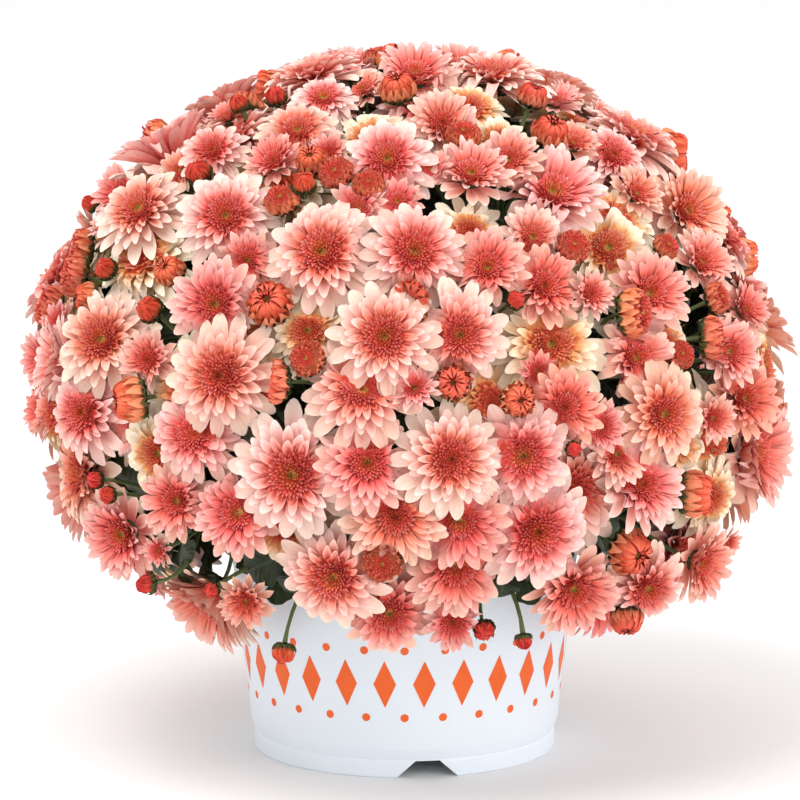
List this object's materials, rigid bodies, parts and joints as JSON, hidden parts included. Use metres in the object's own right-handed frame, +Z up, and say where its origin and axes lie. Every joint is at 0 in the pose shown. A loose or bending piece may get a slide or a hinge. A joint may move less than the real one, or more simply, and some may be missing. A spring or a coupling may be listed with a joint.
{
  "type": "pot chrysanthemum",
  "caption": "Domed garden chrysanthemum in a round white nursery pot, with coral and pale pink double flowers, half-open cups and buds on leafy stems",
  "frame": {"origin": "centre of the pot's foot, on the surface that it stands on", "axes": "+Z up along the pot's axis, +X to the right and -Y towards the front view"},
  "size_m": [0.4395, 0.44, 0.4088],
  "materials": {
    "pot": "smooth satin white, faintly blue",
    "soil": "rough dark peat and bark",
    "leaf": "matte dark green leaf and stem",
    "petal": "soft petals, coral in the middle and pale pink at the rim"
  },
  "bodies": {
    "root": {"pot": "pot", "soil": "soil", "leafy_stem_01": "leaf", "leafy_stem_02": "leaf", "leafy_stem_03": "leaf", "leafy_stem_04": "leaf", "leafy_stem_05": "leaf", "leafy_stem_06": "leaf", "leafy_stem_07": "leaf", "leafy_stem_08": "leaf", "leafy_stem_09": "leaf", "leafy_stem_10": "leaf", "leafy_stem_11": "leaf", "leafy_stem_12": "leaf", "leafy_stem_13": "leaf", "leafy_stem_14": "leaf", "leafy_stem_15": "leaf", "leafy_stem_16": "leaf", "leafy_stem_17": "leaf", "leafy_stem_18": "leaf", "leafy_stem_19": "leaf", "leafy_stem_20": "leaf", "leafy_stem_21": "leaf", "leafy_stem_22": "leaf", "leafy_stem_23": "leaf", "leafy_stem_24": "leaf", "spray_01": "petal", "spray_02": "petal", "spray_03": "petal", "spray_04": "petal", "spray_05": "petal", "spray_06": "petal", "spray_07": "petal", "spray_08": "petal", "spray_09": "petal", "spray_10": "petal", "spray_11": "petal", "spray_12": "petal", "spray_13": "petal", "spray_14": "petal", "spray_15": "petal", "spray_16": "petal", "spray_17": "petal", "spray_18": "petal", "spray_19": "petal", "spray_20": "petal", "spray_21": "petal", "spray_22": "petal", "spray_23": "petal", "spray_24": "petal"}
  },
  "joints": []
}
